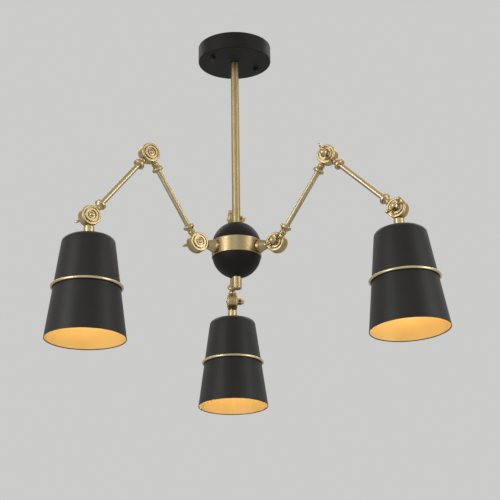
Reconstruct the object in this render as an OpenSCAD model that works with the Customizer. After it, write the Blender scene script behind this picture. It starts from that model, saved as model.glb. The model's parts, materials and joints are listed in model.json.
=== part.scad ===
// Swing-arm chandelier: three arms of two links each on a centre ball, hung from a ceiling canopy.
// The ceiling is z = 0, z points up. Each arm swings in its own upright plane.

/* [Canopy and rod] */
// outer diameter of the ceiling canopy
canopy_d = 138; // [124:1:180]
// height of the canopy below the ceiling
canopy_h = 31.5; // [28:0.5:45]
// radius of the canopy's lower edge
canopy_round = 3; // [2:0.5:8]
// diameter of the downrod
rod_d = 15; // [14:0.5:20]
// length of the downrod between canopy and ball
rod_len = 327.7; // [240:0.1:900]
// distance of the two canopy studs from the centre
stud_offset = 48; // [44:1:52]
// direction of the ceiling bracket in plan
bracket_turn = 30; // [0:1:180]

/* [Ball] */
// diameter of the black domes
ball_d = 90; // [80:1:130]
// height of each dome's centre above or below the ball's middle
dome_lift = 7.8; // [6:0.1:13.5]
// height of the brass belt between the domes
belt_h = 28.8; // [27:0.1:32]
// how far the belt stands proud of the domes
belt_proud = 0.5; // [0.2:0.1:2]
// diameter of the finial under the ball
finial_d = 17.5; // [15:0.5:24]
// length of the finial
finial_len = 22.8; // [20:0.1:40]

/* [Arms] */
// distance between the two joints of a link
link_len = 182.6; // [130:0.1:260]
// outer diameter of the link tubes
tube_d = 10; // [9:0.5:12]
// wall of the link tubes
tube_wall = 1; // [0.8:0.1:1.5]
// distance of the base joints from the belt
base_reach = 37.3; // [37:0.1:50]
// diameter of the knuckle discs
disc_d = 36; // [35:0.5:37]
// thickness of one disc half at its rim
disc_rim = 9.2; // [8.6:0.1:9.8]
// thickness of one disc half at its raised ring
disc_ring = 10.6; // [10.2:0.1:11.5]
// diameter of the pivot bolts
bolt_d = 6; // [5:0.5:7]
// tip to tip span of the wing nuts
wing_span = 37; // [30:0.5:38]

/* [Pose as photographed] */
// slope of the inner links: rear, left, right
inner_slope = [48.6, 56.7, 54.6]; // [40:0.1:65]
// slope of the outer links: rear, left, right
outer_slope = [-47.6, -51.0, -44.6]; // [-60:0.1:-40]
// outward tilt of the shades: rear, left, right
shade_tilt = [-1.1, 0.6, 3.1]; // [-15:0.1:15]
// turn of the base wing nuts: rear, left, right
base_wing_turn = [10, 175, 33]; // [0:1:180]
// turn of the elbow wing nuts: rear, left, right
elbow_wing_turn = [10, 100, 110]; // [0:1:180]
// turn of the shade wing nuts: rear, left, right
shade_wing_turn = [5, 157, 42]; // [0:1:180]

/* [Shades] */
// diameter of the shade mouth
mouth_d = 140; // [120:1:180]
// diameter of the shade top, before its edge is rounded
shade_top_d = 90.5; // [80:0.5:110]
// height of the shade
shade_h = 179.4; // [165:0.1:230]
// radius of the shade's upper edge
shade_round = 11; // [6:0.5:14]
// thickness of the shade metal
shade_wall = 1.2; // [1:0.1:2]
// distance of the shade top from the shade joint
shade_drop = 41; // [36:0.1:50]
// distance of the brass ring below the shade top
ring_drop = 88.9; // [60:0.1:150]
// diameter of the ring wire
ring_wire = 4.8; // [3:0.1:7]
// diameter of the bulb
bulb_d = 60; // [45:1:64]
// length of the bulb outside the lamp holder
bulb_len = 80; // [72:1:88]

/* [Hidden] */
$fn = 96;
running = 0.05;     // radial clearance of bolts and nuts
seat = 0.3;         // gap between pieces that move past each other
half_seat = seat / 2;
cut = 1;            // how far a cut runs past a face
count = 3;
arms = ["rear", "left", "right"];
first_azimuth = 90;

// canopy and rod
canopy_r = canopy_d / 2;
canopy_wall = 1.5;
canopy_floor = 2;
thread_r = 5;
thread_bore = 3.5;
nut_h = 5;
nut_r = 9;
bracket_w = 22;
bracket_t = 2.5;
bracket_end = 7;
bracket_len = 2 * (stud_offset + bracket_end);
bracket_hole_r = 2.6;
bracket_hole_pcd = 60;
wire_hole_r = 8;
stud_r = 2;
stud_play = 0.2;
stud_proud = 6;
stud_len = canopy_h + stud_proud;
cap_nut_r = 4.5;
cap_nut_h = 9;
block_size = [34, 16, 13];
block_offset = 34;
block_screw_r = 2;
rod_r = rod_d / 2;
nipple_grip = 22;
nipple_proud = 4;
nipple_top = nut_h + nipple_proud;

// ball
ball_r = ball_d / 2;
dome_wall = 1.6;
belt_r = ball_r + belt_proud;
belt_wall = 3;
belt_edge = 0.8;
flat_margin = 0.7;
upper_flat_r = rod_r + flat_margin;
lower_flat_r = finial_d / 2 + flat_margin;
upper_flat = dome_lift + sqrt(pow(ball_r, 2) - pow(upper_flat_r, 2));
lower_flat = dome_lift + sqrt(pow(ball_r, 2) - pow(lower_flat_r, 2));
ball_z = -(canopy_h + rod_len + upper_flat);
finial_grip = 16;

// knuckles: h is the distance from the joint's middle plane
disc_r = disc_d / 2;
rim_round = 1.8;
ring_r = 12.6;
ring_round = 1.2;
groove_w = 2;
groove_depth = 1.6;
recess_r = 8.4;
recess_depth = 0.8;
recess_h = disc_rim - recess_depth;
bolt_r = bolt_d / 2;
bore_r = bolt_r + running;
bore_wall = 3;
chamber_in = bore_r + bore_wall;
chamber_out = ring_r;
chamber_h = 4;
neck_r = 5.4;
neck_margin = 0.6;
neck_full = disc_r + neck_margin;
wire_r = 2;
bead_gap = 4.2;
bead_at = disc_r + bead_gap;
bead_r = 6.7;
bead_round = 1.6;
bead_to_cone = 3.2;
cone_len = 4;
cone_at = bead_at + bead_to_cone;
flange_at = cone_at + cone_len;
flange_r = 10.4;
flange_t = 6;
flange_round = 2.2;
lip_t = 2;
lip_wall = 1.6;
lip_r = tube_d / 2 + lip_wall;
collar_end = flange_at + flange_t + lip_t;
socket_depth = 5;
tube_at = collar_end - socket_depth;
socket_r = tube_d / 2 + running;

// base knuckles
boss_end = base_reach;
base_joint_r = belt_r + base_reach;
boss_at = neck_full + neck_margin;
boss_tip_r = 7.8;
boss_tip_round = 1.5;
boss_rim_t = 3.4;
boss_rim_gap = 2;
boss_rim_at = boss_end - boss_rim_gap - boss_rim_t;
boss_cone_r = 11.2;
boss_rim_r = 12.6;
boss_rim_round = 1.5;
boss_foot = 3;
spigot_proud = 9;
spigot_len = belt_wall + spigot_proud;
saddle_gap = 0.03;
nut_seat = base_joint_r - sqrt(pow(belt_r - belt_wall, 2) - pow(nut_r, 2));

// bolts and wing nuts
head_r = 4.6;
head_h = 3;
washer_r = 6.4;
washer_t = 1.4;
wing_foot = recess_h + seat;
wing_foot_r = 7.6;
wing_foot_t = 2.2;
hub_r = 7;
hub_h = 11;
hub_top = wing_foot + hub_h;
wing_tip_r = 3.6;
wing_tip_out = wing_span / 2 - wing_tip_r;
wing_tip_h = 12.2;
wing_tip_at = wing_foot + wing_tip_h;
wing_t = 2.8;
wing_low = wing_foot + wing_foot_t;
hub_cover = 2;
wing_high = hub_top - hub_cover / 2;
bolt_end = hub_top - hub_cover;

// shades: s is the distance from the shade joint along the shade's axis
cap_r = 9.2;
cap_at = neck_full + neck_margin;
cap_round = 1.5;
mouth_r = mouth_d / 2;
shade_top_r = shade_top_d / 2;
shade_slope = (mouth_r - shade_top_r) / shade_h;
slope_cos = 1 / sqrt(1 + pow(shade_slope, 2));
ring_r_at = shade_top_r + shade_slope * ring_drop + (ring_wire / 2 + running) / slope_cos;
holder_r = 19.5;
holder_len = 48;
holder_neck_r = 12;
holder_neck_h = 4;
holder_cone_h = 8;
holder_spigot = 12;
spigot_end = shade_drop + shade_wall + holder_spigot;
holder_groove_count = 4;
holder_groove_pitch = 5;
holder_groove_w = 2;
holder_groove_depth = 0.9;
socket_hole_r = 13.6;
socket_floor = 20;
cap_base_r = 13.2;
bulb_wall = 1.2;
bulb_vent_r = 3;
bulb_r = bulb_d / 2;
bulb_base_at = shade_drop + shade_wall + socket_floor;
bulb_neck_at = shade_drop + shade_wall + holder_len;
bulb_centre = bulb_neck_at + bulb_len - bulb_r;
bulb_cone_share = 0.62;
bulb_cone_top = bulb_centre - bulb_r * bulb_cone_share;
bulb_cone_r = sqrt(pow(bulb_r, 2) - pow(bulb_centre - bulb_cone_top, 2));

brass = [0.78, 0.66, 0.42];
dark_paint = [0.10, 0.085, 0.08];
steel = [0.70, 0.71, 0.72];
glass = [0.98, 0.95, 0.86];
plastic = [0.16, 0.15, 0.15];
pale_plastic = [0.88, 0.87, 0.84];

centre_pieces = [
    "ceiling_bracket", "bracket_studs", "canopy", "canopy_cap_nuts", "rod_nipple", "rod_lock_nut",
    "terminal_block", "downrod", "upper_dome", "belt_ring", "lower_dome", "tie_nipple",
    "bottom_finial", "knuckle_lock_nuts", "base_bolts"
];
arm_pieces = [
    "base_knuckle", "base_wing_nut", "inner_knuckles", "inner_tube", "elbow_wing_nut",
    "outer_knuckles", "outer_tube", "outer_bolts", "shade_wing_nut", "shade_knuckle",
    "shade", "shade_ring", "lamp_holder", "bulb"
];

// the point where a line from p touches a circle, on the chosen side
function touch(p, c, r, side) =
    let (d = norm(c - p), turn = atan2(p[1] - c[1], p[0] - c[0]) + side * acos(r / d))
    c + r * [cos(turn), sin(turn)];

// frames: x along the arm or link, y along the joint's axis with the bolt heads at +y
module at_ball() {
    translate([0, 0, ball_z]) children();
}
module at_base_joint(i) {
    at_ball() rotate([0, 0, first_azimuth + 360 / count * i]) translate([base_joint_r, 0, 0]) children();
}
module at_inner_link(i) {
    at_base_joint(i) rotate([0, -inner_slope[i], 0]) children();
}
module at_elbow(i) {
    at_inner_link(i) translate([link_len, 0, 0]) rotate([0, inner_slope[i], 0]) children();
}
module at_outer_link(i) {
    at_elbow(i) rotate([0, -outer_slope[i], 0]) children();
}
module at_shade_joint(i) {
    at_outer_link(i) translate([link_len, 0, 0]) rotate([0, outer_slope[i], 0]) children();
}
module at_shade(i) {
    at_shade_joint(i) rotate([0, 90 - shade_tilt[i], 0]) children();
}
// from the far joint of a link back along it
module from_far_end() {
    translate([link_len, 0, 0]) rotate([0, 180, 0]) children();
}
// turned shapes are drawn along z and laid along x, or along the joint's axis on one side
module along_x() {
    rotate([0, 90, 0]) children();
}
module on_side(side) {
    rotate([-90 * side, 0, 0]) children();
}

// half-lap knuckle: one stepped disc half with its neck along x
module disc_half() {
    rotate_extrude() difference() {
        union() {
            translate([bore_r, half_seat]) square([disc_r - rim_round - bore_r, disc_rim - half_seat]);
            translate([bore_r, half_seat]) square([disc_r - bore_r, disc_rim - rim_round - half_seat]);
            translate([disc_r - rim_round, disc_rim - rim_round]) circle(rim_round);
            translate([bore_r, half_seat]) square([ring_r - bore_r, disc_ring - ring_round - half_seat]);
            translate([bore_r, half_seat]) square([ring_r - ring_round - bore_r, disc_ring - half_seat]);
            translate([ring_r - ring_round, disc_ring - ring_round]) circle(ring_round);
        }
        translate([ring_r, disc_rim - groove_depth]) square([groove_w, groove_depth + cut]);
        translate([0, recess_h]) square([recess_r, disc_ring]);
        translate([chamber_in, 0]) square([chamber_out - chamber_in, chamber_h]);
    }
}
module knuckle_half(side, length) {
    on_side(side) disc_half();
    difference() {
        along_x() cylinder(r = neck_r, h = length);
        translate([0, -side * (disc_r - half_seat), 0]) cube([2 * neck_full, 2 * disc_r, 2 * disc_r], true);
        on_side(side) cylinder(r = (chamber_out + disc_r) / 2, h = disc_rim);
    }
}

// turned collar that holds a link tube
module collar() {
    along_x() rotate_extrude() {
        translate([neck_r - bead_round, bead_at]) circle(bead_round + bead_r - neck_r);
        polygon([
            [0, bead_at], [neck_r, bead_at], [neck_r, cone_at], [flange_r - flange_round, flange_at],
            [lip_r, flange_at + flange_t], [lip_r, collar_end], [0, collar_end]
        ]);
        translate([0, flange_at]) rounded_step(flange_r, flange_t, flange_round);
    }
}
module link_knuckle(side) {
    difference() {
        union() {
            knuckle_half(side, cone_at);
            collar();
        }
        along_x() translate([0, 0, chamber_out - cut]) cylinder(r = wire_r, h = tube_at);
        along_x() translate([0, 0, tube_at]) cylinder(r = socket_r, h = socket_depth + cut);
    }
}
module link_tube() {
    translate([tube_at, 0, 0]) along_x() difference() {
        cylinder(d = tube_d, h = link_len - 2 * tube_at);
        translate([0, 0, -cut]) cylinder(r = tube_d / 2 - tube_wall, h = link_len);
    }
}

// pivot bolt: head and washer at +y, shank through both halves into the wing nut at -y
module pivot_bolt() {
    on_side(1) {
        translate([0, 0, -bolt_end]) cylinder(r = bolt_r, h = bolt_end + recess_h + seat);
        translate([0, 0, recess_h + seat]) rotate_extrude() {
            square([washer_r, washer_t]);
            intersection() {
                translate([0, head_h + washer_t - head_r]) circle(head_r);
                square([head_r, head_h + washer_t]);
            }
        }
    }
}
module wing_ear() {
    low = [hub_r / 2, wing_low];
    high = [hub_r / 2, wing_high];
    tip = [wing_tip_out, wing_tip_at];
    rotate([90, 0, 0]) linear_extrude(wing_t, center = true) {
        polygon([low, touch(low, tip, wing_tip_r, 1), tip, touch(high, tip, wing_tip_r, -1), high]);
        translate(tip) circle(wing_tip_r);
    }
}
module wing_nut(turn) {
    on_side(-1) rotate([0, 0, turn]) difference() {
        union() {
            translate([0, 0, wing_foot]) cylinder(r = wing_foot_r, h = wing_foot_t);
            translate([0, 0, wing_foot]) cylinder(r = hub_r, h = hub_top - hub_r / 2 - wing_foot);
            translate([0, 0, hub_top - hub_r / 2]) sphere(hub_r);
            wing_ear();
            rotate([0, 0, 180]) wing_ear();
        }
        translate([0, 0, wing_foot - cut]) cylinder(r = bore_r, h = bolt_end + seat - wing_foot + cut);
    }
}

// canopy group
module ceiling_bracket() {
    color(steel) rotate([0, 0, bracket_turn]) difference() {
        translate([-bracket_len / 2, -bracket_w / 2, -bracket_t]) cube([bracket_len, bracket_w, bracket_t]);
        translate([0, 0, -bracket_t - cut]) cylinder(r = wire_hole_r, h = bracket_t + 2 * cut);
        for (side = [-1, 1]) {
            translate([side * bracket_hole_pcd / 2, 0, -bracket_t - cut])
                cylinder(r = bracket_hole_r, h = bracket_t + 2 * cut);
            translate([side * stud_offset, 0, -bracket_t - cut])
                cylinder(r = stud_r + running, h = bracket_t + 2 * cut);
        }
    }
}
module bracket_studs() {
    color(steel) rotate([0, 0, bracket_turn]) for (side = [-1, 1])
        translate([side * stud_offset, 0, -stud_len]) cylinder(r = stud_r, h = stud_len);
}
module canopy_cap_nuts() {
    color(dark_paint) rotate([0, 0, bracket_turn]) for (side = [-1, 1])
        translate([side * stud_offset, 0, -canopy_h]) difference() {
            rotate_extrude() {
                translate([0, cap_nut_r - cap_nut_h]) square([cap_nut_r, cap_nut_h - cap_nut_r]);
                intersection() {
                    translate([0, cap_nut_r - cap_nut_h]) circle(cap_nut_r);
                    translate([0, -cap_nut_h]) square([cap_nut_r, cap_nut_h]);
                }
            }
            translate([0, 0, canopy_h - stud_len - seat])
                cylinder(r = stud_r + running, h = stud_len - canopy_h + seat + cut);
        }
}
module canopy() {
    color(dark_paint) difference() {
        rotate_extrude() difference() {
            cup_profile(canopy_r, canopy_h, canopy_round);
            translate([0, cut]) cup_profile(
                canopy_r - canopy_wall, canopy_h - canopy_floor + cut, canopy_round - canopy_wall);
        }
        translate([0, 0, -canopy_h - cut]) cylinder(r = thread_r + running, h = canopy_floor + 2 * cut);
        rotate([0, 0, bracket_turn]) for (side = [-1, 1])
            translate([side * stud_offset, 0, -canopy_h - cut])
                cylinder(r = stud_r + stud_play, h = canopy_floor + 2 * cut);
    }
}
module cup_profile(r, h, edge) {
    translate([0, -h]) square([r - edge, h]);
    translate([0, edge - h]) square([r, h - edge]);
    translate([r - edge, edge - h]) circle(edge);
}
module rod_nipple() {
    color(steel) translate([0, 0, -canopy_h - nipple_grip]) tube_piece(
        thread_r, thread_bore, nipple_grip + canopy_floor + nipple_top);
}
module tube_piece(outer, inner, length) {
    difference() {
        cylinder(r = outer, h = length);
        translate([0, 0, -cut]) cylinder(r = inner, h = length + 2 * cut);
    }
}
module hex_nut() {
    difference() {
        cylinder(r = nut_r, h = nut_h, $fn = 6);
        translate([0, 0, -cut]) cylinder(r = thread_r + running, h = nut_h + 2 * cut);
    }
}
module rod_lock_nut() {
    color(steel) translate([0, 0, canopy_floor - canopy_h]) hex_nut();
}
module terminal_block() {
    color(pale_plastic) rotate([0, 0, bracket_turn + 90])
        translate([block_offset, 0, canopy_floor - canopy_h + block_size[2] / 2]) difference() {
            cube([block_size[1], block_size[0], block_size[2]], true);
            for (k = [-1, 0, 1]) translate([0, k * block_size[0] / 3, 0])
                cylinder(r = block_screw_r, h = block_size[2]);
        }
}
module downrod() {
    color(brass) translate([0, 0, -canopy_h - rod_len])
        tube_piece(rod_r, thread_r + running, rod_len);
}

// ball group
module dome(flat) {
    rotate_extrude() difference() {
        translate([0, dome_lift]) circle(ball_r);
        translate([0, dome_lift]) circle(ball_r - dome_wall);
        translate([-ball_d, belt_h / 2 - 2 * ball_d]) square([2 * ball_d, 2 * ball_d]);
        translate([-ball_d, flat]) square([2 * ball_d, ball_d]);
        translate([-ball_d, -ball_d]) square([ball_d + thread_r + 2 * running, 3 * ball_d]);
    }
}
module upper_dome() {
    color(dark_paint) at_ball() dome(upper_flat);
}
module lower_dome() {
    color(dark_paint) at_ball() mirror([0, 0, 1]) dome(lower_flat);
}
module belt_ring() {
    color(brass) at_ball() difference() {
        rotate_extrude() {
            translate([belt_r - belt_wall, -belt_h / 2]) square([belt_wall - belt_edge, belt_h]);
            translate([belt_r - belt_wall, belt_edge - belt_h / 2])
                square([belt_wall, belt_h - 2 * belt_edge]);
            for (side = [-1, 1])
                translate([belt_r - belt_edge, side * (belt_h / 2 - belt_edge)]) circle(belt_edge);
        }
        for (i = [0 : count - 1]) rotate([0, 0, first_azimuth + 360 / count * i])
            along_x() cylinder(r = thread_r + running, h = ball_d);
    }
}
module tie_nipple() {
    color(steel) at_ball() translate([0, 0, -lower_flat - finial_grip])
        tube_piece(thread_r, thread_bore, lower_flat + upper_flat + finial_grip + nipple_grip);
}
module bottom_finial() {
    color(brass) at_ball() translate([0, 0, -lower_flat]) difference() {
        rotate_extrude() cup_profile(finial_d / 2, finial_len, rim_round);
        translate([0, 0, -finial_grip]) cylinder(r = thread_r + running, h = finial_grip + cut);
    }
}
module knuckle_lock_nuts() {
    color(steel) for (i = [0 : count - 1]) at_base_joint(i)
        translate([-nut_seat - nut_h, 0, 0]) along_x() hex_nut();
}
module base_bolts() {
    color(brass) for (i = [0 : count - 1]) at_base_joint(i) pivot_bolt();
}

// arm pieces, one of each for every arm
module base_knuckle(i) {
    color(brass) at_base_joint(i) rotate([0, 180, 0]) difference() {
        union() {
            knuckle_half(-1, boss_rim_at);
            difference() {
                along_x() rotate_extrude() boss_profile();
                translate([base_joint_r, 0, 0])
                    cylinder(r = belt_r + saddle_gap, h = ball_d, center = true);
            }
            along_x() cylinder_span(thread_r, boss_rim_at, boss_end + spigot_len);
        }
        along_x() cylinder_span(wire_r, chamber_out - cut, boss_end + spigot_len + cut);
    }
}
module cylinder_span(r, from, to) {
    translate([0, 0, from]) cylinder(r = r, h = to - from);
}
// thick cone with a rounded rim by the belt
module boss_profile() {
    polygon([
        [0, boss_at], [boss_tip_r - boss_tip_round, boss_at], [boss_tip_r, boss_at + boss_tip_round],
        [boss_cone_r, boss_rim_at], [boss_cone_r, boss_end + boss_foot], [0, boss_end + boss_foot]
    ]);
    translate([0, boss_rim_at]) rounded_step(boss_rim_r, boss_rim_t, boss_rim_round);
}
// disc outline with both outer corners rounded
module rounded_step(r, h, edge) {
    square([r - edge, h]);
    translate([0, edge]) square([r, h - 2 * edge]);
    translate([r - edge, edge]) circle(edge);
    translate([r - edge, h - edge]) circle(edge);
}
module base_wing_nut(i) {
    color(brass) at_base_joint(i) wing_nut(base_wing_turn[i]);
}
module inner_knuckles(i) {
    color(brass) at_inner_link(i) {
        link_knuckle(1);
        from_far_end() link_knuckle(1);
    }
}
module inner_tube(i) {
    color(brass) at_inner_link(i) link_tube();
}
module elbow_wing_nut(i) {
    color(brass) at_elbow(i) wing_nut(elbow_wing_turn[i]);
}
module outer_knuckles(i) {
    color(brass) at_outer_link(i) {
        link_knuckle(-1);
        from_far_end() link_knuckle(-1);
    }
}
module outer_tube(i) {
    color(brass) at_outer_link(i) link_tube();
}
module outer_bolts(i) {
    color(brass) {
        at_elbow(i) pivot_bolt();
        at_shade_joint(i) pivot_bolt();
    }
}
module shade_wing_nut(i) {
    color(brass) at_shade_joint(i) wing_nut(shade_wing_turn[i]);
}
module shade_knuckle(i) {
    color(brass) at_shade(i) difference() {
        union() {
            knuckle_half(1, cap_at + cap_round);
            along_x() rotate_extrude() {
                translate([0, cap_at]) square([cap_r - cap_round, shade_drop - cap_at]);
                translate([0, cap_at + cap_round]) square([cap_r, shade_drop - cap_at - cap_round]);
                translate([cap_r - cap_round, cap_at + cap_round]) circle(cap_round);
            }
            along_x() cylinder_span(thread_r, shade_drop - cap_round, spigot_end);
        }
        along_x() cylinder_span(wire_r, chamber_out - cut, spigot_end + cut);
    }
}
// the shade's outline as a filled shape, from its top down to the mouth
module shade_outline(inset) {
    top_r = shade_top_r - inset / slope_cos;
    edge = shade_round - inset;
    lean = atan(shade_slope);
    edge_x = top_r + shade_slope * (inset + edge) - edge / slope_cos;
    edge_y = inset + edge;
    touch_point = [edge_x + edge * cos(lean), edge_y - edge * sin(lean)];
    translate([0, shade_drop]) {
        polygon([
            [0, inset], [edge_x, inset], [edge_x, edge_y], touch_point,
            [mouth_r - inset / slope_cos + shade_slope * inset, shade_h + inset],
            [0, shade_h + inset]
        ]);
        translate([edge_x, edge_y]) circle(edge);
    }
}
module shade(i) {
    color(dark_paint) at_shade(i) along_x() rotate_extrude() difference() {
        shade_outline(0);
        shade_outline(shade_wall);
        translate([-mouth_d, 0]) square([mouth_d + thread_r + running, 2 * shade_h]);
    }
}
module shade_ring(i) {
    color(brass) at_shade(i) along_x() translate([0, 0, shade_drop + ring_drop])
        rotate_extrude() translate([ring_r_at, 0]) circle(d = ring_wire);
}
module lamp_holder(i) {
    top = shade_drop + shade_wall;
    body_top = top + holder_neck_h + holder_cone_h;
    color(plastic) at_shade(i) along_x() rotate_extrude() difference() {
        polygon([
            [0, top], [holder_neck_r, top], [holder_neck_r, top + holder_neck_h],
            [holder_r, body_top],
            [holder_r, top + holder_len], [0, top + holder_len]
        ]);
        translate([0, top - cut]) square([thread_r + running, holder_spigot + seat + cut]);
        for (k = [1 : holder_groove_count])
            translate([holder_r - holder_groove_depth, body_top + k * holder_groove_pitch])
                square([holder_groove_depth + cut, holder_groove_w]);
        translate([0, top + socket_floor]) square([socket_hole_r, holder_len]);
    }
}
// hollow envelope on a cap, open at the foot of the cap
module bulb_shape(inset) {
    cylinder_span(cap_base_r - inset, bulb_base_at + seat + inset, bulb_neck_at + inset);
    translate([0, 0, bulb_neck_at])
        cylinder(r1 = cap_base_r - inset, r2 = bulb_cone_r - inset, h = bulb_cone_top - bulb_neck_at);
    translate([0, 0, bulb_centre]) sphere(bulb_r - inset);
}
module bulb(i) {
    color(glass) at_shade(i) along_x() difference() {
        bulb_shape(0);
        bulb_shape(bulb_wall);
        cylinder_span(bulb_vent_r, bulb_base_at - cut, bulb_neck_at);
    }
}

ceiling_bracket();
bracket_studs();
canopy();
canopy_cap_nuts();
rod_nipple();
rod_lock_nut();
terminal_block();
downrod();
upper_dome();
belt_ring();
lower_dome();
tie_nipple();
bottom_finial();
knuckle_lock_nuts();
base_bolts();

for (i = [0 : count - 1]) {
    base_knuckle(i);
    base_wing_nut(i);
    inner_knuckles(i);
    inner_tube(i);
    elbow_wing_nut(i);
    outer_knuckles(i);
    outer_tube(i);
    outer_bolts(i);
    shade_wing_nut(i);
    shade_knuckle(i);
    shade(i);
    shade_ring(i);
    lamp_holder(i);
    bulb(i);
}
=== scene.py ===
import json
import math
import bpy
from mathutils import Matrix, Vector


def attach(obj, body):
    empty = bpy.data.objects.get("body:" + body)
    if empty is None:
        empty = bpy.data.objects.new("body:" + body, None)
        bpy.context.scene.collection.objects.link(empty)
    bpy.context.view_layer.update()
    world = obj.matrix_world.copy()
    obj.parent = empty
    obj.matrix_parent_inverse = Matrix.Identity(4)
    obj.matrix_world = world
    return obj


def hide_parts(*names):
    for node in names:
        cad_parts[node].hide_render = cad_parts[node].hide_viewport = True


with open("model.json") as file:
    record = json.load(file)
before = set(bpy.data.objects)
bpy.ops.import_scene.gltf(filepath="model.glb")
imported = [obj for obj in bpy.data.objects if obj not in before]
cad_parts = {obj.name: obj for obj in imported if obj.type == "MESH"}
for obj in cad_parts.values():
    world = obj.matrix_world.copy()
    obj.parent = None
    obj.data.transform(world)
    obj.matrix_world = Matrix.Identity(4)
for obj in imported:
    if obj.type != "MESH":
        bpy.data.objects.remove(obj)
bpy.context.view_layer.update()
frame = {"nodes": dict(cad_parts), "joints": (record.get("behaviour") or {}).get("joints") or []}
joints = {joint["name"]: joint for joint in frame["joints"]}
print("frame loaded,", len(frame["nodes"]), "nodes")

# direction of each arm in plan, outward tilt of its shade and turns of its wing nuts, in degrees
armPose = {
    "rear": {"azimuth": 90, "tilt": -1.1, "wings": {"base": 10, "elbow": 10, "shade": 5}},
    "left": {"azimuth": 210, "tilt": 0.6, "wings": {"base": 175, "elbow": 100, "shade": 157}},
    "right": {"azimuth": 330, "tilt": 3.1, "wings": {"base": 33, "elbow": 110, "shade": 42}},
}
jointNames = {"base": "base_lift", "elbow": "elbow_fold", "shade": "shade_tilt"}


def jointAt(arm, where):
    return Vector(joints[arm + "_" + jointNames[where]]["pos_m"])


def jointPlace(arm, where):
    azimuth = math.radians(armPose[arm]["azimuth"])
    return Matrix.Translation(jointAt(arm, where)) @ Matrix.Rotation(azimuth, 4, "Z")


def shadePlace(arm):
    # Z runs down the shade from its joint
    turn = math.radians(180 - armPose[arm]["tilt"])
    return jointPlace(arm, "shade") @ Matrix.Rotation(turn, 4, "Y")


# modelling helpers

weld = 1e-7  # points nearer than this are merged


def clearSelection():
    if bpy.context.object and bpy.context.object.mode != "OBJECT":
        bpy.ops.object.mode_set(mode="OBJECT")
    bpy.ops.object.select_all(action="DESELECT")


def onlySelect(piece):
    clearSelection()
    piece.select_set(True)
    bpy.context.view_layer.objects.active = piece


def applyModifier(piece, kind, **settings):
    onlySelect(piece)
    modifier = piece.modifiers.new(kind.title(), kind)
    for setting, value in settings.items():
        setattr(modifier, setting, value)
    bpy.ops.object.modifier_apply(modifier=modifier.name)


def softenEdges(piece, width, segments, angle):
    # rounds the edges that turn by more than the angle
    applyModifier(piece, "BEVEL", width=width, segments=segments, limit_method="ANGLE",
                  angle_limit=math.radians(angle))


def arc(centre, radius, fromDeg, toDeg, steps):
    turns = [math.radians(fromDeg + (toDeg - fromDeg) * k / steps) for k in range(steps + 1)]
    return [(centre[0] + radius * math.cos(t), centre[1] + radius * math.sin(t)) for t in turns]


def drawnOutline(name, outline, closed):
    # points in the XZ plane, drawn one after another from a single vertex; left in edit mode
    clearSelection()
    bpy.ops.mesh.primitive_circle_add(vertices=3, radius=0.001)
    piece = bpy.context.object
    piece.name = name
    bpy.ops.object.mode_set(mode="EDIT")
    bpy.ops.mesh.select_all(action="SELECT")
    bpy.ops.mesh.merge(type="CENTER")
    bpy.ops.transform.translate(value=(outline[0][0], 0, outline[0][1]))
    points = outline + [outline[0]] if closed else outline
    for before, after in zip(points, points[1:]):
        step = (after[0] - before[0], 0, after[1] - before[1])
        bpy.ops.mesh.extrude_region_move(TRANSFORM_OT_translate={"value": step})
    bpy.ops.mesh.select_all(action="SELECT")
    bpy.ops.mesh.remove_doubles(threshold=weld)
    return piece


def turnedPiece(name, outline, steps, closed=False):
    # an outline of (radius, height) points, spun round the Z axis
    piece = drawnOutline(name, outline, closed)
    bpy.ops.mesh.spin(steps=steps, angle=math.tau, center=(0, 0, 0), axis=(0, 0, 1))
    bpy.ops.mesh.select_all(action="SELECT")
    bpy.ops.mesh.remove_doubles(threshold=weld)
    bpy.ops.mesh.normals_make_consistent(inside=False)
    bpy.ops.object.mode_set(mode="OBJECT")
    return piece


def platePiece(name, outline, thickness):
    # an outline in the XZ plane, filled and drawn out to a plate about y = 0
    piece = drawnOutline(name, outline, True)
    bpy.ops.mesh.edge_face_add()
    bpy.ops.transform.translate(value=(0, -thickness / 2, 0))
    bpy.ops.mesh.extrude_region_move(TRANSFORM_OT_translate={"value": (0, thickness, 0)})
    bpy.ops.mesh.select_all(action="SELECT")
    bpy.ops.mesh.normals_make_consistent(inside=False)
    bpy.ops.object.mode_set(mode="OBJECT")
    return piece


def smoothPiece(piece, angle):
    onlySelect(piece)
    bpy.ops.object.shade_smooth_by_angle(angle=math.radians(angle))


def placedCopy(pattern, name, place):
    # a copy with its own mesh, turned into place, and its place put into the mesh
    onlySelect(pattern)
    bpy.ops.object.duplicate()
    piece = bpy.context.object
    piece.name = name
    piece.matrix_world = place
    bpy.ops.object.transform_apply(location=True, rotation=True, scale=True)
    return piece


def dropPattern(pattern):
    onlySelect(pattern)
    bpy.ops.object.delete()


def seatPiece(piece, body, node):
    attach(piece, body)
    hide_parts(node)


def seatInShades(pattern, ending, node):
    for arm in armPose:
        piece = placedCopy(pattern, arm + ending, shadePlace(arm))
        seatPiece(piece, arm + "_shade_head", arm + "_" + node)
    dropPattern(pattern)


# finishes: soft clouds vary the tone, fine grain varies the roughness and the bump

noiseSpan = (0.3, 0.7)  # the stretch of a noise pattern's values that is used
waveBand = 0.314  # height of one band of the wave pattern at scale 1


def newFinish(name):
    finish = bpy.data.materials.new(name)
    finish.use_nodes = True
    nodes, links = finish.node_tree.nodes, finish.node_tree.links
    return finish, nodes, links, nodes["Principled BSDF"]


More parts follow.
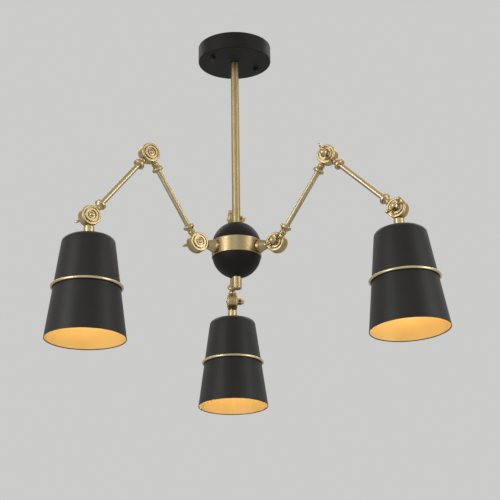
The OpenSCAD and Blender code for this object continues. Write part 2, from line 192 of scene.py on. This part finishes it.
def objectPattern(nodes, links, stretch=(1, 1, 1), turn=(0, 0, 0)):
    coord = nodes.new("ShaderNodeTexCoord")
    mapping = nodes.new("ShaderNodeMapping")
    mapping.vector_type = "TEXTURE"
    mapping.inputs["Scale"].default_value = stretch
    mapping.inputs["Rotation"].default_value = turn
    links.new(coord.outputs["Object"], mapping.inputs["Vector"])
    return mapping.outputs["Vector"]


def noise(nodes, links, vector, scale, detail, rough=0.55):
    texture = nodes.new("ShaderNodeTexNoise")
    texture.inputs["Scale"].default_value = scale
    texture.inputs["Detail"].default_value = detail
    texture.inputs["Roughness"].default_value = rough
    links.new(vector, texture.inputs["Vector"])
    return texture.outputs["Fac"]


def tint(nodes, links, shader, factor, low, high):
    ramp = nodes.new("ShaderNodeValToRGB")
    for stop, position, colour in zip(ramp.color_ramp.elements, noiseSpan, (low, high)):
        stop.position = position
        stop.color = (*colour, 1)
    links.new(factor, ramp.inputs["Fac"])
    links.new(ramp.outputs["Color"], shader.inputs["Base Color"])


def roughen(nodes, links, shader, factor, low, high):
    fit = nodes.new("ShaderNodeMapRange")
    fit.inputs["From Min"].default_value = noiseSpan[0]
    fit.inputs["From Max"].default_value = noiseSpan[1]
    fit.inputs["To Min"].default_value = low
    fit.inputs["To Max"].default_value = high
    links.new(factor, fit.inputs["Value"])
    links.new(fit.outputs["Result"], shader.inputs["Roughness"])


def emboss(nodes, links, shader, height, strength, distance):
    bump = nodes.new("ShaderNodeBump")
    bump.inputs["Strength"].default_value = strength
    bump.inputs["Distance"].default_value = distance
    links.new(height, bump.inputs["Height"])
    links.new(bump.outputs["Normal"], shader.inputs["Normal"])


def makeFinish(name, spec, stretch=(1, 1, 1), turn=(0, 0, 0)):
    # cloud and grain: scale, detail and roughness of a noise pattern; bump: strength and depth;
    # stretch draws the grain out along one axis, turn lays that axis along the piece
    finish, nodes, links, shader = newFinish(name)
    cloud = noise(nodes, links, objectPattern(nodes, links), *spec["cloud"])
    grain = noise(nodes, links, objectPattern(nodes, links, stretch, turn), *spec["grain"])
    tint(nodes, links, shader, cloud, *spec["tone"])
    roughen(nodes, links, shader, grain, *spec["rough"])
    if "bump" in spec:
        emboss(nodes, links, shader, grain, *spec["bump"])
    for socket, value in spec["sockets"].items():
        shader.inputs[socket].default_value = value
    return finish


brassTone = {"body": ((0.445, 0.345, 0.180), (0.515, 0.404, 0.218)), "rough": (0.36, 0.44),
             "edge": (0.64, 0.54, 0.385)}
# painted shade: the rod, belt and base knuckles in the middle of the chandelier take a darker copy of the
# brass; the arm tubes are a little paler and less yellow; painted highlight: the shade rings take a lighter
# copy of the brass
shadedCoreTone = {"body": ((0.380, 0.293, 0.148), (0.440, 0.343, 0.180)), "rough": (0.38, 0.46),
            "edge": (0.58, 0.485, 0.335)}
tubeTone = {"body": ((0.415, 0.338, 0.198), (0.480, 0.395, 0.238)), "rough": (0.34, 0.42),
            "edge": (0.62, 0.545, 0.42)}
# painted highlight: a lighter copy of the brass for the shade rings
highlightWireTone = {"body": ((0.560, 0.455, 0.270), (0.640, 0.530, 0.320)), "rough": (0.30, 0.38),
            "edge": (0.78, 0.70, 0.56)}


def satinBrass(name, tone=brassTone, stretch=(1, 1, 1), turn=(0, 0, 0)):
    sockets = {"Metallic": 1.0, "Specular Tint": (*tone["edge"], 1), "Coat Weight": 0.12,
               "Coat Roughness": 0.18}
    spec = {"cloud": (28, 2), "grain": (900, 4, 0.6), "tone": tone["body"], "rough": tone["rough"],
            "bump": (0.03, 0.0002), "sockets": sockets}
    return makeFinish(name, spec, stretch, turn)


coatTone = ((0.0062, 0.0052, 0.0047), (0.0092, 0.0078, 0.0070))


def powderCoat(name, rough, gloss):
    spec = {"cloud": (40, 3), "grain": (1500, 2, 0.5), "tone": coatTone, "rough": rough,
            "bump": (0.16, 0.00025), "sockets": {"Specular IOR Level": gloss}}
    return makeFinish(name, spec)


liningSpec = {"cloud": (22, 3), "grain": (1100, 3, 0.6), "rough": (0.46, 0.60), "bump": (0.12, 0.0003),
              "tone": ((0.695, 0.515, 0.213), (0.735, 0.552, 0.234)),
              "sockets": {"Metallic": 0.15, "Specular IOR Level": 0.3}}
zincSpec = {"cloud": (260, 3), "grain": (260, 3), "rough": (0.36, 0.50), "threadRelief": 0.8,
            "tone": ((0.29, 0.295, 0.305), (0.40, 0.405, 0.415)), "sockets": {"Metallic": 1.0}}
opalSpec = {"cloud": (35, 2), "grain": (35, 2), "rough": (0.22, 0.32),
            "tone": ((0.93, 0.90, 0.82), (0.97, 0.95, 0.89)),
            "sockets": {"Subsurface Weight": 0.25, "Subsurface Radius": (0.01, 0.008, 0.005),
                        "Emission Color": (1.0, 0.84, 0.60, 1), "Emission Strength": 6.0}}


def threadedZinc(name, pitch):
    # plated steel with thread lines round an upright piece
    finish = makeFinish(name, zincSpec)
    nodes, links = finish.node_tree.nodes, finish.node_tree.links
    thread = nodes.new("ShaderNodeTexWave")
    thread.bands_direction = "Z"
    thread.inputs["Scale"].default_value = waveBand / pitch
    links.new(objectPattern(nodes, links), thread.inputs["Vector"])
    emboss(nodes, links, nodes["Principled BSDF"], thread.outputs["Fac"], zincSpec["threadRelief"], pitch / 2)
    return finish


def mouldedPlastic(name, low, high):
    spec = {"cloud": (60, 2), "grain": (700, 3), "tone": (low, high), "rough": (0.36, 0.5),
            "bump": (0.08, 0.0002), "sockets": {}}
    return makeFinish(name, spec)


# how far the brush lines are drawn out, along Z
lengthwise = (1, 1, 30)
upright = (0.6, 0.6, 12)
brass = satinBrass("satinBrass")
# painted shade: the rod, belt and base knuckles take darker copies of the brass
shadedBrassRod = satinBrass("shadedBrassRod", shadedCoreTone, lengthwise)
shadedBrassBelt = satinBrass("shadedBrassBelt", shadedCoreTone, upright)
shadedBrassCore = satinBrass("shadedBrassCore", shadedCoreTone)
# painted highlight: the shade rings take a lighter copy of the brass
highlightBrassWire = satinBrass("highlightBrassWire", highlightWireTone)
blackCoat = powderCoat("blackPowderCoat", (0.42, 0.54), 0.36)
mattCoat = powderCoat("mattPowderCoat", (0.52, 0.64), 0.20)
lining = makeFinish("goldLining", liningSpec)
zinc = makeFinish("zincPlate", zincSpec)
zincThread = threadedZinc("zincThread", 0.001)
capMetal = threadedZinc("bulbCapMetal", 0.0032)
darkMoulding = mouldedPlastic("darkMoulding", (0.016, 0.014, 0.013), (0.028, 0.025, 0.023))
paleBlock = mouldedPlastic("paleMoulding", (0.72, 0.70, 0.64), (0.80, 0.78, 0.72))
opal = makeFinish("opalGlass", opalSpec)
print("finishes ready")


# camera at the photo's place: metres, degrees, and a focal length in pixels of the frame
cameraSpec = {"place": (-0.07375, -2.4392, -1.2618), "yaw": 2.31, "pitch": 19.22, "roll": -0.81,
              "focal": 1410.8, "frameWidth": 500, "sensor": 36, "reach": 100}


def makeCamera():
    yaw, pitch, roll = (math.radians(cameraSpec[k]) for k in ("yaw", "pitch", "roll"))
    ahead = Vector((math.sin(yaw) * math.cos(pitch), math.cos(yaw) * math.cos(pitch), math.sin(pitch)))
    side = Vector((math.cos(yaw), -math.sin(yaw), 0))
    above = side.cross(ahead)
    right = math.cos(roll) * side + math.sin(roll) * above
    top = math.cos(roll) * above - math.sin(roll) * side
    turn = Matrix((right, top, -ahead)).transposed().to_4x4()
    clearSelection()
    bpy.ops.object.camera_add()
    camera = bpy.context.object
    camera.name = "photoCamera"
    camera.matrix_world = Matrix.Translation(cameraSpec["place"]) @ turn
    camera.data.sensor_width = cameraSpec["sensor"]
    camera.data.lens = cameraSpec["sensor"] * cameraSpec["focal"] / cameraSpec["frameWidth"]
    camera.data.clip_end = cameraSpec["reach"]
    bpy.context.scene.camera = camera


makeCamera()


# shades: one sheet of metal with a soft upper edge, gold inside; the black outside wraps round the lip
shadeSpec = {"mouthR": 0.070, "topR": 0.04525, "height": 0.1794, "edgeR": 0.011, "wall": 0.0012,
             "drop": 0.041, "holeR": 0.0051, "lipPaint": 0.0014, "topBand": 0.02, "lipRound": 0.0003,
             "steps": 160, "edgeSteps": 12, "sideSteps": 8}


def shadeWall(inset):
    # from the hole over the rounded upper edge to the mouth, at a depth in the sheet
    spec = shadeSpec
    slope = (spec["mouthR"] - spec["topR"]) / spec["height"]
    lean = math.atan(slope)
    edge = spec["edgeR"] - inset
    topR = spec["topR"] - inset / math.cos(lean)
    topZ = spec["drop"] + inset
    edgeX = topR + slope * (inset + edge) - edge / math.cos(lean)
    corner = arc((edgeX, topZ + edge), edge, -90, -math.degrees(lean), spec["edgeSteps"])
    startR, startZ = corner[-1]
    runR = spec["mouthR"] - inset / math.cos(lean) - startR
    runZ = spec["drop"] + spec["height"] - startZ
    shares = [k / spec["sideSteps"] for k in range(1, spec["sideSteps"])] + [1 - spec["lipPaint"] / runZ, 1]
    side = [(startR + runR * share, startZ + runZ * share) for share in shares]
    return [(spec["holeR"], topZ)] + corner + side


def makeShades():
    spec = shadeSpec
    outline = shadeWall(0) + shadeWall(spec["wall"])[::-1]
    pattern = turnedPiece("shadePattern", outline, spec["steps"], True)
    pattern.data.materials.append(blackCoat)
    pattern.data.materials.append(lining)
    paintEnd = spec["drop"] + spec["height"] - spec["lipPaint"]
    for face in pattern.data.polygons:  # gold where a face looks at the axis or down from the top
        out = Vector((face.center.x, face.center.y, 0)).normalized()
        innerSide = face.normal.dot(out) < -0.3 and face.center.z < paintEnd
        innerTop = face.normal.z > 0.5 and face.center.z < spec["drop"] + spec["topBand"]
        face.material_index = 1 if innerSide or innerTop else 0
    softenEdges(pattern, spec["lipRound"], segments=2, angle=50)
    smoothPiece(pattern, angle=40)
    seatInShades(pattern, "ShadeCone", "shade")


makeShades()
print("shades made")


# bulbs: opal envelope on a screw cap
bulbSpec = {"ballR": 0.030, "tipAt": 0.1702, "coneShare": 0.62, "ease": 0.55, "glassR": 0.0126,
            "glassEnd": 0.0922, "capR": 0.0132, "capTop": 0.0902, "capEnd": 0.0685, "plugR": 0.0085,
            "plugAt": 0.0635, "tipR": 0.004, "baseAt": 0.0625, "steps": 72, "ballSteps": 22, "neckSteps": 10}


def makeBulbs():
    spec = bulbSpec
    ballEnd = -math.degrees(math.asin(spec["coneShare"]))
    ball = arc((0, spec["tipAt"] - spec["ballR"]), spec["ballR"], 90, ballEnd, spec["ballSteps"])
    startR, startZ = ball[-1]
    neck = []
    for k in range(1, spec["neckSteps"] + 1):
        share = k / spec["neckSteps"]
        bend = 0.5 - 0.5 * math.cos(math.pi * share)
        inward = (1 - spec["ease"]) * share + spec["ease"] * bend
        neck.append((startR + (spec["glassR"] - startR) * inward,
                     startZ + (spec["glassEnd"] - startZ) * share))
    cap = [(spec["capR"], spec["capTop"]), (spec["capR"], spec["capEnd"]), (spec["plugR"], spec["plugAt"]),
           (spec["tipR"], spec["baseAt"]), (0, spec["baseAt"])]
    outline = [(0, spec["tipAt"])] + ball[1:] + neck + cap
    pattern = turnedPiece("bulbPattern", outline, spec["steps"])
    pattern.data.materials.append(opal)
    pattern.data.materials.append(capMetal)
    for face in pattern.data.polygons:
        face.material_index = 1 if face.center.z < spec["capTop"] else 0
    smoothPiece(pattern, angle=50)
    seatInShades(pattern, "OpalBulb", "bulb")


makeBulbs()
print("bulbs made")


# lamp holders: narrow neck, sloping shoulder, skirt with grip grooves
holderSpec = {"top": 0.0422, "length": 0.048, "boreR": 0.0052, "neckR": 0.012, "neckEnd": 0.004,
              "bodyR": 0.0195, "shoulderEnd": 0.012, "socketR": 0.0136, "socketFloor": 0.020,
              "grooves": (0.017, 0.022, 0.027, 0.032), "grooveW": 0.002, "grooveDeep": 0.0009,
              "grooveSlope": 0.0002, "edgeRound": 0.0004, "steps": 72}


def makeHolders():
    spec = holderSpec
    top, bodyR = spec["top"], spec["bodyR"]
    end = top + spec["length"]
    socketAt = top + spec["socketFloor"]
    outline = [(spec["boreR"], top), (spec["neckR"], top), (spec["neckR"], top + spec["neckEnd"]),
               (bodyR, top + spec["shoulderEnd"])]
    for groove in spec["grooves"]:
        start = top + groove
        stop = start + spec["grooveW"]
        grooveR = bodyR - spec["grooveDeep"]
        outline += [(bodyR, start), (grooveR, start + spec["grooveSlope"]),
                    (grooveR, stop - spec["grooveSlope"]), (bodyR, stop)]
    outline += [(bodyR, end), (spec["socketR"], end), (spec["socketR"], socketAt),
                (spec["boreR"], socketAt)]
    pattern = turnedPiece("holderPattern", outline, spec["steps"], True)
    softenEdges(pattern, spec["edgeRound"], segments=3, angle=25)
    smoothPiece(pattern, angle=40)
    pattern.data.materials.append(darkMoulding)
    seatInShades(pattern, "HolderSkirt", "lamp_holder")


makeHolders()
print("lamp holders made")


# wing nuts: turned hub with a foot, two cast ears, fused with soft fillets
wingSpec = {"foot": 0.0087, "footR": 0.0076, "footT": 0.0022, "footEdge": 0.0003, "footStep": 0.0004,
            "hubR": 0.0070, "hubTop": 0.0197, "boreR": 0.00305, "boreEnd": 0.0180, "steps": 64,
            "earFoot": [(0.0035, 0.0110), (0.0078, 0.0130)], "earHead": [(0.0086, 0.0188), (0.0035, 0.0180)],
            "tipR": 0.0036, "tipOut": 0.0149, "tipAt": 0.0209, "tipFrom": -58, "tipTo": 143,
            "earT": 0.0028, "rootEnd": 0.008, "rootSwell": 1.3,
            "voxel": 0.0003, "smoothing": 0.5, "smoothRounds": 8, "keptShare": 0.3}


def wingEar():
    spec = wingSpec
    tip = arc((spec["tipOut"], spec["tipAt"]), spec["tipR"], spec["tipFrom"], spec["tipTo"], steps=16)
    ear = platePiece("wingEar", spec["earFoot"] + tip + spec["earHead"], spec["earT"])
    for vertex in ear.data.vertices:
        vertex.select = vertex.co.x < spec["rootEnd"]
    onlySelect(ear)
    bpy.ops.object.mode_set(mode="EDIT")
    bpy.ops.mesh.select_mode(type="VERT")
    bpy.ops.transform.resize(value=(1, spec["rootSwell"], 1))  # thicker at the root
    bpy.ops.object.mode_set(mode="OBJECT")
    return ear


def makeWingNuts():
    spec = wingSpec
    foot, footR, edge = spec["foot"], spec["footR"], spec["footEdge"]
    footTop = foot + spec["footT"]
    outline = [(spec["boreR"], foot), (footR - edge, foot), (footR, foot + edge), (footR, footTop - edge),
               (footR - edge, footTop), (spec["hubR"], footTop + spec["footStep"])]
    outline += arc((0, spec["hubTop"] - spec["hubR"] / 2), spec["hubR"], 0, 90, steps=10)
    outline += [(0, spec["boreEnd"]), (spec["boreR"], spec["boreEnd"])]
    hub = turnedPiece("wingPattern", outline, spec["steps"], True)
    for turn in (0, math.pi):
        ear = wingEar()
        ear.rotation_euler = (0, 0, turn)
        bpy.ops.object.transform_apply(location=True, rotation=True, scale=True)
        hub.select_set(True)
        bpy.context.view_layer.objects.active = hub
        bpy.ops.object.join()
    applyModifier(hub, "REMESH", mode="VOXEL", voxel_size=spec["voxel"])
    applyModifier(hub, "SMOOTH", factor=spec["smoothing"], iterations=spec["smoothRounds"])
    applyModifier(hub, "DECIMATE", ratio=spec["keptShare"])
    smoothPiece(hub, angle=60)
    hub.data.materials.append(brass)
    for arm, pose in armPose.items():
        for where, turn in pose["wings"].items():
            place = jointPlace(arm, where) @ Matrix.Rotation(math.pi / 2, 4, "X")
            place = place @ Matrix.Rotation(math.radians(turn), 4, "Z")
            nut = placedCopy(hub, arm + where.title() + "WingNut", place)
            seatPiece(nut, "%s_%s_wing" % (arm, where), "%s_%s_wing_nut" % (arm, where))
    dropPattern(hub)


makeWingNuts()
print("wing nuts made")


# pivot bolts: shank with a chamfered end, round-edged washer, button head
boltSpec = {"r": 0.003, "end": 0.0177, "chamfer": 0.0005, "seat": 0.0087, "washerR": 0.0064,
            "washerT": 0.0014, "edgeR": 0.0004, "headR": 0.0046, "headH": 0.003, "filletR": 0.0005,
            "steps": 64}


def makeBolts():
    spec = boltSpec
    r, end, seat, edge, fillet = (spec[k] for k in ("r", "end", "seat", "edgeR", "filletR"))
    face = seat + spec["washerT"]
    domeAt = face + spec["headH"] - spec["headR"]
    rimTurn = math.degrees(math.asin((face + fillet - domeAt) / spec["headR"]))
    dome = arc((0, domeAt), spec["headR"], rimTurn, 90, steps=12)
    rim = spec["washerR"] - edge
    outline = [(0, -end), (r - spec["chamfer"], -end), (r, spec["chamfer"] - end), (r, seat)]
    outline += arc((rim, seat + edge), edge, -90, 0, steps=4)
    outline += arc((rim, face - edge), edge, 0, 90, steps=4)
    outline += arc((dome[0][0] + fillet, face + fillet), fillet, 270, 180, steps=4)
    bolt = turnedPiece("boltPattern", outline + dome[1:], spec["steps"])
    smoothPiece(bolt, angle=40)
    bolt.data.materials.append(brass)
    for arm in armPose:
        for where in jointNames:
            place = jointPlace(arm, where) @ Matrix.Rotation(-math.pi / 2, 4, "X")
            piece = placedCopy(bolt, arm + where.title() + "PivotBolt", place)
            if where == "base":
                seatPiece(piece, "centre", "base_bolts")
            else:
                seatPiece(piece, arm + "_outer_link", arm + "_outer_bolts")
    dropPattern(bolt)


makeBolts()
print("pivot bolts made")


# finishes of the pieces kept from the frame; the downrod and belt take the darker brass, painted shade
keptFinish = {
    "ceiling_bracket": zinc, "bracket_studs": zincThread, "canopy": mattCoat,
    "canopy_cap_nuts": blackCoat, "rod_nipple": zincThread, "rod_lock_nut": zinc,
    "terminal_block": paleBlock, "downrod": shadedBrassRod, "upper_dome": mattCoat, "belt_ring": shadedBrassBelt,
    "lower_dome": mattCoat, "tie_nipple": zincThread, "bottom_finial": brass, "knuckle_lock_nuts": zinc,
}
# the base knuckles take the darker brass (painted shade), the shade rings the lighter brass (painted
# highlight)
armFinish = {"inner_knuckles": brass, "outer_knuckles": brass, "shade_knuckle": brass,
             "base_knuckle": shadedBrassCore, "shade_ring": highlightBrassWire}
linkEnds = {"inner": ("base", "elbow"), "outer": ("elbow", "shade")}


def tubeBrass(arm, link):
    # brush lines along the tube
    start, end = (jointAt(arm, where) for where in linkEnds[link])
    turn = Vector((0, 0, 1)).rotation_difference(end - start).to_euler()
    return satinBrass(arm + link.title() + "TubeBrass", tubeTone, lengthwise, turn)


def finishFrame():
    for arm in armPose:
        for piece, finish in armFinish.items():
            keptFinish[arm + "_" + piece] = finish
        for link in linkEnds:
            keptFinish["%s_%s_tube" % (arm, link)] = tubeBrass(arm, link)
    for node, finish in keptFinish.items():
        kept = frame["nodes"][node]
        if not kept.material_slots:
            kept.data.materials.append(finish)
        for place in kept.material_slots:
            place.material = finish


finishFrame()
print("frame pieces finished:", len(keptFinish))


# pale floor, studio light and backdrop colour
studioSpec = {
    "floorZ": -4.2, "floorSize": 160, "floorTone": ((0.56, 0.56, 0.55), (0.60, 0.60, 0.59)),
    "floorCloud": (6, 2), "floorRough": 0.8, "floorGloss": 0.1,
    "floorGlow": (0.685, 0.685, 0.675), "evenness": 0.8,
    "backdrop": (0.60, 0.60, 0.59), "fill": 0.45, "aim": (0, 0, -0.35),
    "boxes": {
        "left": {"place": (-2.3, -1.7, -0.3), "size": (0.9, 2.0), "power": 46},
        "right": {"place": (2.4, -1.3, -0.3), "size": (0.9, 2.0), "power": 36},
        "front": {"place": (-0.4, -2.8, 0.55), "size": (0.7, 0.7), "power": 3},
        "rearLeft": {"place": (-1.6, 2.1, 2.0), "size": (0.9, 1.2), "power": 17},
        "rearRight": {"place": (1.8, 1.9, 1.9), "size": (0.9, 1.2), "power": 17},
        "top": {"place": (0.3, 0.4, 2.2), "size": (2.0, 2.0), "power": 7},
    },
}


def softBox(name):
    spec = studioSpec["boxes"][name]
    aim = Vector(studioSpec["aim"]) - Vector(spec["place"])
    clearSelection()
    bpy.ops.object.light_add(type="AREA", location=spec["place"])
    lamp = bpy.context.object
    lamp.name = name + "SoftBox"
    lamp.rotation_euler = aim.to_track_quat("-Z", "Y").to_euler()
    lamp.data.shape = "RECTANGLE"
    lamp.data.size, lamp.data.size_y = spec["size"]
    lamp.data.energy = spec["power"]
    lamp.visible_camera = False


def seenDirectly(nodes, links):
    # 1 where the camera, or a mirror or glass on its behalf, looks at the backdrop
    path = nodes.new("ShaderNodeLightPath")
    either = path.outputs["Is Camera Ray"]
    for ray in ("Is Glossy Ray", "Is Transmission Ray"):
        larger = nodes.new("ShaderNodeMath")
        larger.operation = "MAXIMUM"
        links.new(either, larger.inputs[0])
        links.new(path.outputs[ray], larger.inputs[1])
        either = larger.outputs[0]
    return either


def makeFloor():
    clearSelection()
    bpy.ops.mesh.primitive_plane_add(size=studioSpec["floorSize"], location=(0, 0, studioSpec["floorZ"]))
    floor = bpy.context.object
    floor.name = "paleFloor"
    finish, nodes, links, shader = newFinish("paleFloorPaint")
    cloud = noise(nodes, links, objectPattern(nodes, links), *studioSpec["floorCloud"])
    tint(nodes, links, shader, cloud, *studioSpec["floorTone"])
    shader.inputs["Roughness"].default_value = studioSpec["floorRough"]
    shader.inputs["Specular IOR Level"].default_value = studioSpec["floorGloss"]
    glow = nodes.new("ShaderNodeEmission")
    glow.inputs["Color"].default_value = (*studioSpec["floorGlow"], 1)
    share = nodes.new("ShaderNodeMath")
    share.operation = "MULTIPLY"
    share.inputs[1].default_value = studioSpec["evenness"]
    links.new(seenDirectly(nodes, links), share.inputs[0])
    mix = nodes.new("ShaderNodeMixShader")
    links.new(share.outputs[0], mix.inputs["Fac"])
    links.new(shader.outputs[0], mix.inputs[1])
    links.new(glow.outputs[0], mix.inputs[2])
    links.new(mix.outputs[0], nodes["Material Output"].inputs["Surface"])
    floor.data.materials.append(finish)


def makeStudio():
    makeFloor()
    for name in studioSpec["boxes"]:
        softBox(name)
    world = bpy.data.worlds.new("studio")
    bpy.context.scene.world = world
    world.use_nodes = True
    nodes, links = world.node_tree.nodes, world.node_tree.links
    nodes.clear()
    fill = nodes.new("ShaderNodeBackground")
    fill.inputs["Color"].default_value = (1, 1, 1, 1)
    fill.inputs["Strength"].default_value = studioSpec["fill"]
    backdrop = nodes.new("ShaderNodeBackground")
    backdrop.inputs["Color"].default_value = (*studioSpec["backdrop"], 1)
    mix = nodes.new("ShaderNodeMixShader")
    links.new(seenDirectly(nodes, links), mix.inputs["Fac"])
    links.new(fill.outputs[0], mix.inputs[1])
    links.new(backdrop.outputs[0], mix.inputs[2])
    out = nodes.new("ShaderNodeOutputWorld")
    links.new(mix.outputs[0], out.inputs["Surface"])
    bpy.context.scene.view_settings.view_transform = "Standard"


makeStudio()
print("studio ready")
